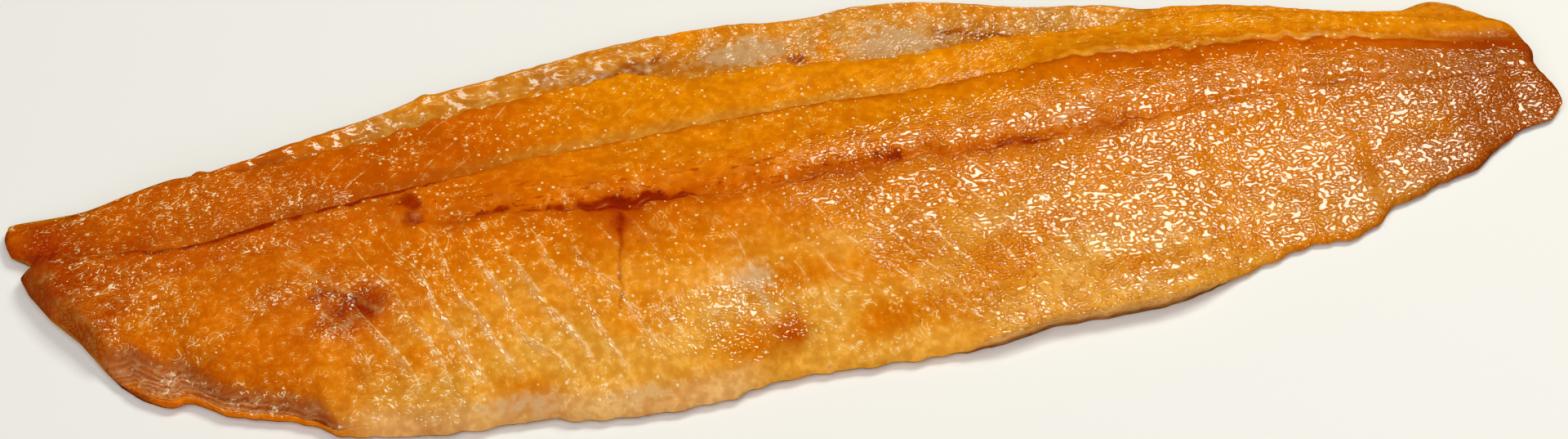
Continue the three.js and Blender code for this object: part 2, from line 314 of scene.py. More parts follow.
FLAT_FROM = 3.6  # in from the edges, where the flat underside starts
UNDER_SHARES = (0.83, 0.805, 0.77, 0.735, 0.7, 0.6, 0.45, 0.3, 0.15)  # closest under the blunt end's notch
UNDERCUT = (1.1, 1.5)  # in from the near edge, and more under the wall
UNDERCUT_HEIGHT = 0.4
FULL_UNDERSIDE = 30.0  # a narrower underside has its lines closer together


def under_knots(x):
    """The same for the underside, from the far edge back to the near edge."""
    near, far = near_edge(x), far_edge(x)
    narrow = np.minimum(1, (far - near) / FULL_UNDERSIDE)
    undercut = mix(*UNDERCUT, wall_zone(x))
    flat = [(mix(near, far, share), 0 * x) for share in UNDER_SHARES]
    return [
        (far - 1.2 * narrow, UNDERCUT_HEIGHT + 0 * x),
        (far - FLAT_FROM * narrow, 0 * x),
        *flat,
        (near + FLAT_FROM * narrow, 0 * x),
        (near + undercut * narrow, UNDERCUT_HEIGHT + 0 * x),
    ]


STATIONS = 560
# Rows of the mesh from each knot of the top to the next.
ROWS_BETWEEN = [2, 3, 6, 5, 14, 15, 14, 4, 3, 12, 11, 3, 3, 3, 11, 10, 4, 4, 4, 13, 9, 3, 3]

# Stations lie closer together where the skin is puckered, towards the slim end.
BLUNT_SPACING = 1.55  # of what it is at the slim end
spacing = mix(BLUNT_SPACING, 1.0, rise(np.linspace(0, 1, STATIONS - 1), 0.2, 0.5))
way_along = np.concatenate([[0], np.cumsum(spacing)])
way_along /= way_along[-1]
near_x = mix(NEAR_EDGE[0][0], NEAR_EDGE[-1][0], way_along)
far_x = mix(FAR_EDGE[0][0], FAR_EDGE[-1][0], way_along)
near_y, far_y = near_edge(near_x), far_edge(far_x)

CROSSING_ROUNDS = 7  # of closing in on where a line crosses a slanted station


def on_stations(knots):
    """Where each knot's line crosses each station, as x, y and z, one row a knot."""
    x = np.tile(0.5 * (near_x + far_x), (len(knots(near_x)), 1))
    for _ in range(CROSSING_ROUNDS):
        y = np.array([knot[0][k] for k, knot in enumerate(knots(x))])
        x = mix(near_x, far_x, (y - near_y) / (far_y - near_y))
    at = knots(x)
    y = np.array([knot[0][k] for k, knot in enumerate(at)])
    z = np.array([knot[1][k] for k, knot in enumerate(at)])
    return np.stack([x, y, z], axis=-1)


def smooth_rows(knots, rows_between):
    """Rows on a centripetal curve through the knots, with the given number of rows in each interval."""
    step = np.sqrt(np.linalg.norm(np.diff(knots, axis=0), axis=-1, keepdims=True)) + 1e-6
    speed = np.diff(knots, axis=0) / step
    tangent = np.empty_like(knots)
    tangent[0], tangent[-1] = speed[0], speed[-1]
    tangent[1:-1] = (speed[:-1] * step[1:] + speed[1:] * step[:-1]) / (step[1:] + step[:-1])
    rows = []
    for k, count in enumerate(rows_between):
        for t in np.arange(count) / count:
            u = 1 - t
            ends = u * u * (1 + 2 * t) * knots[k] + t * t * (1 + 2 * u) * knots[k + 1]
            rows.append(ends + t * u * step[k] * (u * tangent[k] - t * tangent[k + 1]))
    rows.append(knots[-1])
    return np.array(rows)


END_ROUNDING = 2.6
END_LEAST = 0.16  # height left at the very end, as a share
END_REACH = 14.0  # how far in the ragged cut is felt

top = smooth_rows(on_stations(top_knots), ROWS_BETWEEN)
under = on_stations(under_knots)
from_blunt = way_along * (near_x[-1] - near_x[0])
from_slim = (1 - way_along) * (far_x[-1] - far_x[0])
from_end = np.minimum(from_blunt, from_slim)
end_height = np.maximum(END_LEAST, np.sqrt(1 - (1 - np.minimum(1, from_end / END_ROUNDING)) ** 2))


def shape_ends(points):
    """Rounds the two ends down and gives them their ragged cut."""
    points[..., 2] = mix(RIM_HEIGHT, points[..., 2], end_height)
    across = np.clip((points[..., 1] - near_y) / (far_y - near_y), 0, 1)
    points[..., 0] += blunt_end(across) * np.maximum(0, 1 - from_blunt / END_REACH) ** 2
    points[..., 0] += slim_end(across) * np.maximum(0, 1 - from_slim / END_REACH) ** 2


shape_ends(top)
shape_ends(under)

# Two scraps of skin stand out of the far edge: x, how far out and half the length.
EDGE_KNOBS = [(-121.5, 1.4, 1.9), (-73, 1.2, 2.4)]
KNOB_ROWS = {-1: 1.0, -2: 0.9, -3: 0.75, -4: 0.5, -5: 0.25}  # its share on each row in from the edge
for knob_x, knob_reach, knob_half in EDGE_KNOBS:
    knob = knob_reach * bell(top[-1, :, 0], knob_x, knob_half)
    for row, share in KNOB_ROWS.items():
        top[row, :, 1] += knob * share
        top[row, :, 2] += 0.6 * knob * (row != -1) * share

# ---------------------------------------------------------------------------------------------------------------
# The flesh side's relief: muscle segments with their sheets between, the skin of dried protein that smoke and
# salt pucker, and the marks of the knife and of torn membranes.
# ---------------------------------------------------------------------------------------------------------------

MYOSEPTA_PITCH = 6.8  # between the sheets of the muscle segments, along the fillet

px, py = top[..., 0], top[..., 1]
line_near, line_lateral, line_cleft = near_edge(px), lateral_line(px), cleft(px)
line_ridge, line_far = second_ridge(px), far_edge(px)


def strip(y, start, end):
    """How far y is across the strip from start to end, from 0 to 1."""
    return np.clip((y - start) / np.maximum(end - start, 1e-3), 0, 1)


# Across the fillet: 0 near edge, 1 lateral line, 2 cleft, 3 second ridge, 4 far edge.
across = (
    strip(py, line_near, line_lateral) + strip(py, line_lateral, line_cleft)
    + strip(py, line_cleft, line_ridge) + strip(py, line_ridge, line_far)
)
on_lobe = fall(across, 0.97, 1.0)
on_back = rise(across, 0.98, 1.0) * fall(across, 1.97, 2.0)
on_second = rise(across, 1.97, 2.02) * fall(across, 2.95, 3.05)
on_flap = rise(across, 2.98, 3.1) * flap_zone(px)
from_near = py - line_near
from_lateral = py - line_lateral
leaning = px + 0.4 * py  # where the muscle segments of the lobe start and stop: on lines that lean with them


def myosepta_phase(x, y):
    """Counts muscle segments along the fillet; whole numbers are the sheets between them."""
    off = y - smooth_lateral(x)
    lean = np.where(off < 0, mix(0.42, 0.78, rise(x, -40, 40)), 0.95)
    return (x - lean * np.abs(off)) / MYOSEPTA_PITCH + 0.12 * clouds(x / 14, y / 14)


phase = myosepta_phase(px, py)
within = phase - np.floor(phase)  # 0 just past a sheet, 1 just before the next
near_sheet = bell(within, 0.88, 0.13)
segmented = on_lobe * rise(from_near, 3, 12) * spanning(leaning, -112, 36, 26)
segmented *= mix(1, 0.45, rise(across, 0.75, 1.0))
segmented_second = on_second * spanning(px, -96, -18, 20) * rise(across, 2.1, 2.3)


def mound(x, y, half_x, half_y):
    """A round hump, 1 in the middle."""
    return np.exp(-(((px - x) / half_x) ** 2) - ((py - y) / half_y) ** 2)


# How far the skin is puckered. It is most from the middle to the slim end, and least on the second strip, the
# flap and the cleft's side of the back strip.
reach = px + 0.9 * from_lateral * on_lobe
puckered = mix(0.2, 1, rise(reach, -34, 2)) * (1 - mix(0.8, 0.55, rise(px, 20, 60)) * on_second)
puckered *= 1 - 0.5 * on_flap
puckered *= 1 - 0.9 * spanning(across, mix(1.4, 1.6, rise(px, 0, 40)), 2.0, 0.3)
puckered *= 1 - 0.55 * on_back * fall(px, 5, 50)
# It also puckers on a wet patch of the lobe, at the blunt end and in rows beside the sheets.
wet_patch = on_lobe * mound(-22, -40, 15, 7.5)
puckered += 0.75 * wet_patch
gathered = rise(clouds(px / 15, py / 9) + 0.5 * more_clouds(px / 40, py / 18), -0.7, 1.3)
at_blunt = fall(leaning, -106, -84) * fall(across, 3.0, 3.4)
puckered += mix(0.4, 1.1, gathered) * at_blunt
puckered += 0.9 * segmented * near_sheet * spanning(leaning, -112, -50, 20) * rise(-from_lateral, 6, 14)
puckered += 0.08 * segmented * near_sheet

relief = 0.20 * clouds(px / 24, py / 13) + 0.06 * more_clouds(px / 9, py / 6)
# Each segment stands up a little towards the slim end and drops to the next.
stepped = segmented * mix(0.28, 1.0, spanning(leaning, -118, -62, 22) * rise(-from_lateral, 10, 20))
broken_rows = 0.35 + 0.9 * rise(waves(px / 4.5, py / 3.4), -0.5, 0.7)
saw = (within - 0.5) * fall(within, 0.8, 1.0)
relief += stepped * saw * (0.7 + 0.4 * clouds(px / 11, py / 11)) * broken_rows
PUCKER_HEIGHT = 0.03  # of its coarser waves, as the finest ones are left to the oil's surface
relief += PUCKER_HEIGHT * puckered * (waves(px / 2.7, py / 2.5) + more_waves(px / 5.2, py / 3.6))

# Dents and a scrap: x, y, height and half the length and width.
LOCAL_RELIEF = [
    (-98, -22, -0.9, 7, 5), (-15, -29, -0.5, 6, 5), (-14, -43.5, 1.0, 3.4, 2.4),
    (-40, -11, -0.4, 3, 4), (43, -8, -0.5, 4, 3),
]
for dent_x, dent_y, dent_height, *halves in LOCAL_RELIEF:
    relief += dent_height * mound(dent_x, dent_y, *halves)

# Fibres of the folded membrane at the blunt end's near side run along its edge.
FOLD_RIDGES = 2.6  # from one ridge to the next
FOLD_RIDGE_HEIGHT = 0.34
folded = fold_zone(px) * fall(from_near / fold_width(px), 0.75, 1.0) * rise(from_near, 0.3, 1.2)
fold_turns = from_near / FOLD_RIDGES + 0.25 * clouds(px / 16, py / 16)
relief += folded * FOLD_RIDGE_HEIGHT * np.cos(2 * math.pi * fold_turns)

# Creases of the belly flap fan out from the ridge.
relief += on_flap * 0.22 * (0.8 - np.abs(more_waves((px + 0.9 * py) / 9, (0.35 * px - py) / 5.5)))
relief += on_flap * 0.09 * (0.8 - np.abs(waves((px + 1.2 * py) / 5, (0.35 * px - py) / 3.2)))

# Nothing rises at the edges, and little at the two ends.
rows_in = np.minimum(np.arange(len(top)), np.arange(len(top))[::-1])
inward = np.minimum(1, rows_in / 6)[:, None]
relief *= inward * mix(0.35, 1, np.minimum(1, from_end / 5))

along = np.gradient(top, axis=1)
acrosswise = np.gradient(top, axis=0)
normal = np.cross(along, acrosswise)
normal /= np.linalg.norm(normal, axis=-1, keepdims=True) + 1e-9
top += relief[..., None] * normal
TABLE_CLEARANCE = 0.15
top[..., 2] = np.maximum(top[..., 2], TABLE_CLEARANCE)

# The mesh: rows and stations of quads, and a zigzag of triangles over each end.
loops = np.concatenate([top, under], axis=0)  # rows, stations, xyz
around = len(loops)
points = loops.transpose(1, 0, 2).reshape(-1, 3).copy()
points[:, 0] -= PLAN_MIDDLE[0]
points[:, 1] -= PLAN_MIDDLE[1]
points *= MM
station, row = np.meshgrid(np.arange(STATIONS - 1), np.arange(around), indexing="ij")
here = station * around + row
beside = station * around + (row + 1) % around
faces = np.stack([here, here + around, beside + around, beside], axis=-1).reshape(-1, 4).tolist()
for end, flip in ((0, False), (STATIONS - 1, True)):
    low, high = 0, around - 1
    while high - low > 1:
        along_top = loops[low + 1, end, 1] < loops[high - 1, end, 1]
        corner = [end * around + k for k in (low, low + 1 if along_top else high - 1, high)]
        faces.append(corner[::-1] if flip else corner)
        low, high = (low + 1, high) if along_top else (low, high - 1)

mesh = bpy.data.meshes.new("smoked_fillet")
mesh.from_pydata(points.tolist(), [], faces)
mesh.validate()
smooth = np.ones(len(mesh.polygons), bool)
smooth[(STATIONS - 1) * around:] = False  # the two cut ends
mesh.polygons.foreach_set("use_smooth", smooth)
fillet = bpy.data.objects.new("smoked_fillet", mesh)
bpy.context.scene.collection.objects.link(fillet)

# ---------------------------------------------------------------------------------------------------------------
# The flesh's colour: smoke and salt turn it amber. It is deepest where the surface dried most, along the back
# strip and at the ends, and palest at the thin wet near edge.
# ---------------------------------------------------------------------------------------------------------------


def linear(hex_colour):
    """sRGB hex to linear red, green and blue."""
    value = np.array([int(hex_colour[k:k + 2], 16) for k in (1, 3, 5)]) / 255
    return np.where(value <= 0.04045, value / 12.92, ((value + 0.055) / 1.055) ** 2.4)


AMBER = linear("#D87806")
HONEY = linear("#E8A24A")
GOLD = linear("#E28504")
ORANGE = linear("#D06A01")
DEEP = linear("#BC5600")
RUST = linear("#9C3C02")
CHESTNUT = linear("#8A4012")
BROWN = linear("#9A5528")
TAN = linear("#C68C4A")
FOLD = linear("#A66648")
PALE = linear("#DDB27E")

colour = np.empty(top.shape)
colour[:] = AMBER


def stain(pigment, amount):
    """Lays a pigment over the flesh, by an amount from 0 to 1."""
    colour[:] += (pigment - colour) * np.clip(amount, 0, 1)[..., None]


def spot(amount, x, y, radius_x, radius_y, rim=0.35):
    """An uneven round spot, as strong as amount in its middle, whose rim is ragged by rim."""
    away = np.hypot((px - x) / radius_x, (py - y) / radius_y) + rim * 0.5 * clouds(px / 7, py / 6)
    return amount * np.exp(-1.3 * away ** 2)


def streak(amount, start, end, half_width):
    """A thin uneven mark from one place to another."""
    (x0, y0), (x1, y1) = start, end
    length = math.hypot(x1 - x0, y1 - y0)
    along_it = ((px - x0) * (x1 - x0) + (py - y0) * (y1 - y0)) / length
    off = ((px - x0) * (y1 - y0) - (py - y0) * (x1 - x0)) / length + 0.5 * half_width * clouds(px / 5, py / 5)
    return amount * bell(off, 0, half_width) * spanning(along_it, 0, length, 3)


mottle = 1.0 + 0.5 * more_clouds(px / 20, py / 11)
past_ridge = rise(across, 2.98, 3.1)
from_cleft = py - line_cleft
across_fold = from_near / fold_width(px)

# The thick lobe is honey towards its edge, and orange at the lateral line and at the blunt end.
stain(HONEY, 0.8 * on_lobe * spanning(px, -100, 60, 50) * fall(across, 0.2, 0.8) * mottle)
stain(HONEY, 0.3 * on_lobe * rise(px, 20, 90) * fall(across, 0.1, 0.5) * mottle)
stain(ORANGE, 0.9 * on_lobe * rise(across, 0.6, 0.98) * mix(1, 0.6, rise(px, -20, 60)))
stain(ORANGE, 0.8 * on_lobe * fall(px - 0.5 * py, -100, -60))

# The back strip is orange, and gold in its middle. The second strip is gold, and deeper at both ends.
stain(ORANGE, 0.85 * on_back)
stain(GOLD, 0.7 * on_back * spanning(px, -45, 60, 50) * rise(across, 1.1, 1.6))
stain(GOLD, 0.95 * on_second)
stain(DEEP, 0.85 * on_second * fall(px, -70, -30))
stain(DEEP, 0.6 * on_second * rise(px, 40, 90) * fall(across, 2.1, 2.5))
stain(DEEP, 0.55 * on_back * rise(px, 25, 65) * rise(across, 1.45, 1.8) + spot(0.4, -76, 0.5, 12, 4))
stain(HONEY, 0.6 * rise(px, 40, 70) * spanning(from_cleft, -0.2, 1.8, 0.8))

# The belly flap is thin, so it is tan where its lining shows, with a gold rim and two gold bridges.
stain(GOLD, rise(across, 3.0, 3.15) * rise(px, -128, -112))
stain(TAN, 0.64 * on_flap * fall(across, 3.65, 3.85) * mottle)
stain(TAN, 0.45 * rise(across, 3.5, 3.8) * rise(px, -112, -90) * mottle)
stain(BROWN, on_flap * (spot(0.5, -24, 41, 26, 4.5) + spot(0.45, 44, 38, 12, 5)))
stain(GOLD, spot(0.9, 13.3, 43, 1.8, 6, 0.8) + spot(0.8, 19.5, 40.5, 1.2, 4, 0.8))
stain(DEEP, 0.7 * (on_back + past_ridge) * fall(px, -110, -70))

# Both ends dried most.
stain(RUST, 0.8 * fall(px + 0.25 * py + 4 * clouds(px / 12, py / 9), -160, -134))
stain(BROWN, 0.62 * rise(px - 0.3 * py, 96, 142) * fall(across, 1.5, 2.0))
stain(CHESTNUT, 0.92 * rise(px - 0.25 * py, 122, 148) * (1 - 0.8 * rise(across, 2.3, 2.8)))

# The cut of the blunt end and the folded membrane beside it are matt and brown.
blunt_band = fall(from_blunt[None, :] + 1.2 * clouds(px / 6, py / 6), 1.0, 4.2) * fall(across, 2.2, 2.6)
stain(BROWN, 0.8 * blunt_band)
stain(FOLD, 0.9 * folded * rise(across_fold, 0.14, 0.3))
stain(RUST, 0.9 * folded * bell(across_fold, 0.93, 0.1) * fall(px, -120, -112))

# The near edge is thin and wet.
stain(PALE, 0.6 * fall(from_near, 1.5, 6) * spanning(px, -100, -20, 12))
stain(HONEY, 0.6 * fall(from_near, 1, 5) * spanning(px, -20, 92, 20))
stain(PALE, 0.5 * wall_zone(px) * fall(from_near, 0.1, 0.5))
stain(ORANGE, spot(0.4, 24, -43, 18, 6))

# Painted highlight: pale rows beside the sheets of the lobe, where the segments' steps catch the light.
glint_rows = segmented * near_sheet * spanning(leaning, -112, -56, 18) * rise(-from_lateral, 8, 16)
stain(PALE, 0.42 * glint_rows * rise(clouds(px / 5, py / 4), -0.9, 0.6))

# Marks of the knife, the rack and the drying.
cleft_dark = bell(from_cleft + 0.4 * clouds(px / 6, py / 6), -0.7, 1.2)
cleft_foot = spanning(from_cleft, 1.0, 6.8, 3.0)
stain(GOLD, spot(0.6, 104.8, -13.5, 6, 2.2) + spot(0.5, 130, -9.6, 7, 3))
stain(ORANGE, spot(0.8, -161, 21.5, 5, 6))
stain(RUST, 0.378 * bell(from_lateral, -1.0, 2.6) * spanning(px, -75, 120, 30) * mottle)
stain(RUST, 0.5 * cleft_dark * rise(px, -60, -30))
stain(TAN, 0.62 * cleft_foot * spanning(px, -130, 24, 34) * mix(0.3, 1, rise(px, -82, -44)))
stain(RUST, 0.35 * cleft_foot * spanning(px, -124, -70, 24))
stain(DEEP, spot(0.75, -98, -23.5, 15, 9.5))
stain(RUST, spot(0.9, -98.5, -22.5, 9.5, 6) + spot(0.6, -40.5, -13, 6, 7))
stain(CHESTNUT, (
    spot(0.35, -98, -22.5, 6, 4)
    + streak(0.85, (-39, 40), (-21, 43.5), 1.4) + streak(0.8, (36, 41), (52, 36.5), 1.1)
))
stain(PALE, streak(0.5, (-106, -10), (-91, -25.5), 0.5))
# The first spot is painted shadow, dark red-brown, behind the nub at the blunt end's far corner.
stain(RUST, spot(0.8, -153.5, 15.5, 5, 6) + spot(0.5, -138, 8, 10, 3.5))
stain(DEEP, spot(1.2, -13.5, -42.6, 5.0, 3.2))
stain(PALE, streak(0.9, (-17.5, -33.5), (-14.5, -39.5), 1.1))

# The underside is one plain tan, whose rows next to the edges take the edges' colours.
# The low cut wall at the near right is a light pinkish brown: partly the cut flesh's own colour and partly
# painted light, as the wall faces down into its own shade.
WALL_COLOUR_AND_LIGHT = linear("#D89A70")
under_tint = np.empty(under.shape)
under_tint[:] = TAN
under_tint[:2], under_tint[-2:] = colour[-1], colour[0]
under_tint[-1] += (WALL_COLOUR_AND_LIGHT - under_tint[-1]) * (0.8 * wall_zone(px[0]))[:, None]

flesh_colour = mesh.attributes.new("flesh_colour", "FLOAT_COLOR", "POINT")
rgba = np.ones((len(points), 4), np.float32)
rgba[:, :3] = np.concatenate([colour, under_tint], axis=0).transpose(1, 0, 2).reshape(-1, 3)
flesh_colour.data.foreach_set("color", rgba.ravel())

# ---------------------------------------------------------------------------------------------------------------
# What lies on the flesh: blood left in its vessels, dried membrane, and the oil that the smoke draws out. Oil
# wets the skin where it puckers and stands in beads on it, and is missing where the flesh dried flat.
# ---------------------------------------------------------------------------------------------------------------

blood_width = mix(0.8, 0.6, rise(px, 40, 70))
blood = bell(from_lateral, -0.3, blood_width) * rise(clouds(px / 13, py / 30), -1.0, 0.5)
blood *= mix(0.62, 0.65, rise(px, 30, 60)) * spanning(px, -62, 158, 20)
blood += 0.85 * cleft_dark * fall(px, -86, -40) * rise(px, -146, -134)
# It thins out along the lateral line towards the blunt end, and is smeared along the cleft.
thinning = bell(from_lateral, -0.2, 1.3) * rise(clouds(px / 6, py / 4), -0.8, 0.6)
smeared = bell(from_cleft, -0.9, 1.7) * rise(clouds(px / 5, py / 4), -0.4, 0.5)
second_vessel = bell(from_lateral, 0.7, 0.7) * rise(clouds(px / 4, py / 3), -0.5, 0.4)
blood += 0.4 * thinning * spanning(px, -84, -20, 14)
blood += 0.95 * smeared * spanning(px, -116, -80, 12)
blood += 0.7 * second_vessel * spanning(px, -74, -26, 8)
# A bruise, a vein that leads down from a clot, and smaller clots.
blood += streak(0.6, (-104, -17), (-92.5, -25), 2.8) + spot(0.35, -98, -22.5, 9, 5)
blood += streak(0.7, (-40.2, -11), (-44.6, -35), 0.55) + spot(0.7, -40.5, -13, 3.4, 5, 0.8)
blood += streak(0.5, (37, 41), (51, 36.5), 0.8) + spot(0.55, -35, -7.9, 7, 1.1, 1.2)
CLOTS = [  # amount, x, y, half the length and width
    (0.95, -80.5, -1.2, 4.6, 3.2), (0.9, 15, -6.2, 3, 1.1), (0.9, 43.2, -7, 4, 1.3),
    (0.9, 6.3, 38.5, 2.2, 2.0), (0.6, -154, 12.5, 3.5, 7),
]
blood += sum(spot(*clot, rim=0.8) for clot in CLOTS)

# Membrane veils the flap, and tatters of it are left on the lobe and along the near edge.
veil = on_flap * (spot(1, -3, 42.5, 13, 5) + spot(1, 27.5, 39.5, 13, 6) + spot(0.6, -34, 42, 16, 3))
veil *= 1 - spot(0.9, 14.5, 39, 2.4, 7, 0.8)
veil += 0.12 * blunt_band * rise(across, 0.2, 0.7) + 0.12 * folded
veil += spot(0.8, -17, -31, 5.5, 4) + streak(0.4, (-104, -23.5), (-94, -29), 2.4)
veil += spot(0.65, -68, -48.3, 10, 2.4) + spot(0.5, -44, -50.3, 7, 1.6) + spot(0.4, 52.6, -3.5, 5, 2)

# Where the dried skin has no gloss: a little over 1 takes nearly all of it.
MATT = 1.07
dry = np.maximum.reduce([on_second, on_flap, 0.8 * spanning(across, 1.65, 2.0, 0.3), rise(across, 3.0, 3.1)])
dry *= mix(0.2, 1, rise(px, -110, -60)) * mix(1, 0.65, spanning(px, 40, 108, 30)) * (1 - 0.4 * on_flap)
dry = np.maximum.reduce([
    dry,
    MATT * on_lobe * fall(puckered, 0.6, 0.95) * fall(wet_patch, 0.15, 0.5),
    MATT * on_back * spanning(px, -112, 0, 24),
    spanning(across, 1.9, 2.2, 0.1),
    MATT * rise(across, 1.95, 2.0) * rise(px, 96, 122),
    bell(from_lateral, -0.1, 0.9) * fall(px, 60, 100),
])

beaded = mix(1, 0.3, rise(puckered, 0.4, 0.9)) * (1 - 0.5 * on_flap) * inward * mix(0.35, 1, gathered)
beaded *= rise(from_end, 1.5, 4)
# Towards the blunt end the lobe's fine grain runs along the sheets, except where the skin puckers.
puckers = rise(puckered, 0.4, 0.8) * rise(leaning, -34, -8)
combed = on_lobe * (1 - np.maximum.reduce([puckers, rise(wet_patch, 0.2, 0.5), at_blunt]))
# Where short near-white dashes are painted: painted highlight standing in for small glints on the grain.
glint_dash_share = 1.15 * at_blunt + 0.6 * combed + 1.2 * glint_rows + 0.4 * on_flap
glint_dash_share += on_second * (0.35 + 0.3 * fall(px, -90, -60))
glint_dash_share += on_back * (0.35 * fall(px, 5, 50) + 0.6 * spanning(px, 40, 158, 20) * fall(across, 1.4, 1.6))
glint_dash_share += 0.5 * on_lobe * spanning(px, 0, 100, 30) * fall(across, 0.35, 0.6)
glint_dash_share *= mix(0.3, 1, gathered) * inward * rise(from_end, 1.0, 4)
beside_lateral = on_back * spanning(across, 1.04, 1.42, 0.12) * spanning(px, 0, 150, 30)

on_skin = {
    "puckered": puckered + 0.4 * beside_lateral + 0.2 * on_lobe * spanning(reach, 0, 60, 30),
    "segment": phase,
    "segment_lines": segmented * mix(1, 0.36, spanning(leaning, -68, -14, 24)) + 0.45 * segmented_second,
    "along_sheet": py,
    "beaded": beaded,
    "cracked": on_back * spanning(px, -75, 20, 24) * fall(across, 1.2, 1.7),
    "dry": dry,
    "combed": combed,
    "glint_dash_share": glint_dash_share,
    "folded": folded,
    "layered": folded * (1 - 0.85 * rise(across_fold, 0.58, 0.85)),
    "from_near": from_near,
    "blood": np.clip(blood, 0, 1),
    "veil": np.clip(veil, 0, 1),
}
for name, values in on_skin.items():
    stored = mesh.attributes.new(name, "FLOAT", "POINT")
    with_underside = np.concatenate([values, np.zeros(under.shape[:2])], axis=0)
    stored.data.foreach_set("value", with_underside.T.astype(np.float32).ravel())

# ---------------------------------------------------------------------------------------------------------------
# Smoked flesh: moist and slightly translucent, under a skin of dried protein and oil. Light sinks a millimetre
# or two into it, and the oil over its wrinkles throws back small sharp glints.
# ---------------------------------------------------------------------------------------------------------------

smoked = bpy.data.materials.new("oily_smoked_flesh")
smoked.use_nodes = True
tree = smoked.node_tree
tree.nodes.clear()


def add(kind, inputs=(), **settings):
    """Adds a node with its settings, sets or links its inputs, by number or name, and gives its outputs."""
    made = tree.nodes.new("ShaderNode" + kind)
    for name, value in settings.items():
        setattr(made, name, value)
    for socket, value in inputs.items() if isinstance(inputs, dict) else enumerate(inputs):
        if isinstance(value, bpy.types.NodeSocket):
            tree.links.new(value, made.inputs[socket])
        else:
            made.inputs[socket].default_value = value
    return made.outputs


PLUS = {"operation": "ADD"}
MINUS = {"operation": "SUBTRACT"}
TIMES = {"operation": "MULTIPLY"}
TIMES_PLUS = {"operation": "MULTIPLY_ADD"}  # the first times the second, plus the third
WITHOUT_SIGN = {"operation": "ABSOLUTE"}
SMOOTH = {"interpolation_type": "SMOOTHSTEP"}  # a value, its low and high, and what these become, or 0 and 1

place = add("TexCoord")["Object"]
tint = add("Attribute", attribute_name="flesh_colour")["Color"]
skin = {name: add("Attribute", attribute_name=name)["Fac"] for name in on_skin}

# The dried skin stands in plump cells with narrow creases between. In the combed grain the cells lie along the
# sheets instead.
WRINKLE_MM = (1.35, 0.95, 0.95)  # along, across and up
COMB_MM = (0.85, 1.45)  # across and along the sheets
cells_place = add("VectorMath", (place, [1 / (size * MM) for size in WRINKLE_MM]), **TIMES)[0]
combed_place = add("CombineXYZ", (
    add("Math", (skin["segment"], MYOSEPTA_PITCH / COMB_MM[0]), **TIMES)[0],
    add("Math", (skin["along_sheet"], 1 / COMB_MM[1]), **TIMES)[0],
))[0]
is_combed = add("Math", (skin["combed"], 0.5), operation="GREATER_THAN")[0]
grain_place = add("Mix", {0: is_combed, 4: cells_place, 5: combed_place}, data_type="VECTOR")[1]
cells = add("TexNoise", {"Vector": grain_place, "Scale": 1.0, "Detail": 0.3})["Fac"]
from_crease = add("Math", (add("Math", (cells, 0.5), **MINUS)[0],), **WITHOUT_SIGN)[0]
wrinkles = add("MapRange", (from_crease, -0.03, 0.17, -0.5, 0.5), **SMOOTH)[0]

# Grit of dried salt and protein, blotches of uneven drying, and fine cracks beside the lateral line.
GRIT_MM = 1.9
BLOTCH_MM = 9.0
CRACK_MM = (2.45, 0.7, 0.7)
grit = add("TexNoise", {"Vector": place, "Scale": 1 / (GRIT_MM * MM), "Detail": 3.5})["Fac"]
blotches = add("TexNoise", {"Vector": place, "Scale": 1 / (BLOTCH_MM * MM), "Detail": 3.0})["Fac"]
crack_place = add("VectorMath", (place, [1 / (size * MM) for size in CRACK_MM]), **TIMES)[0]
crack_noise = add("TexNoise", {"Vector": crack_place, "Scale": 1.0, "Detail": 1.0})["Fac"]
cracks = add("MapRange", (crack_noise, 0.60, 0.70), **SMOOTH)[0]

# Beads of oil stand a few millimetres apart; a few are dark pores instead.
BEAD_SPACING_MM = 1.8
LEAST_BEAD, BEAD_RANGE = 0.06, 0.19  # sizes, as shares of that
drops = add("TexVoronoi", {"Vector": place, "Scale": 1 / (BEAD_SPACING_MM * MM)}, voronoi_dimensions="2D")
drop_sort = add("SeparateXYZ", (drops["Color"],))
mostly_small = add("Math", (drop_sort["Y"], 2.0), operation="POWER")[0]
drop_size = add("Math", (mostly_small, BEAD_RANGE, LEAST_BEAD), **TIMES_PLUS)[0]
from_drop = add("Math", (drops["Distance"], drop_size), operation="DIVIDE")[0]
sparse = add("Math", (drop_sort["X"], 0.25), **PLUS)[0]
is_drop = add("Math", (sparse, skin["beaded"]), operation="LESS_THAN")[0]
is_pore = add("Math", (drop_sort["X"], 0.95), operation="GREATER_THAN")[0]
beads = add("Math", (add("MapRange", (from_drop, 0, 1.8, 1, 0), **SMOOTH)[0], is_drop), **TIMES)[0]
# Painted highlight: a near-white core on each bead, standing in for its glint.
painted_bead_glints = add("Math", (add("MapRange", (from_drop, 0.3, 1.1, 1, 0), **SMOOTH)[0], is_drop), **TIMES)[0]
pores = add("Math", (add("MapRange", (from_drop, 0.4, 1.0, 1, 0), **SMOOTH)[0], is_pore), **TIMES)[0]

# The sheets between the muscle segments show as thin pale lines, broken into beads.
in_segment = add("Math", (skin["segment"],), operation="FRACT")[0]
from_middle = add("Math", (add("Math", (in_segment, 0.5), **MINUS)[0],), **WITHOUT_SIGN)[0]
sheet_edge = add("MapRange", (from_middle, 0.455, 0.495), **SMOOTH)[0]
sheet_line = add("Math", (sheet_edge, skin["segment_lines"]), **TIMES)[0]
grit_gaps = add("MapRange", (grit, 0.49, 0.56), **SMOOTH)[0]
broken_line = add("Math", (sheet_line, grit_gaps), **TIMES)[0]

# The folded membrane's fibres run along the edge and waver.
FIBRE_MM = 1.15
FIBRE_WAVER = 9.0  # radians
wavering = add("Math", (grit, FIBRE_WAVER), **TIMES)[0]
fibre_phase = add("Math", (skin["from_near"], 2 * math.pi / FIBRE_MM, wavering), **TIMES_PLUS)[0]
fibres = add("Math", (fibre_phase,), operation="SINE")[0]

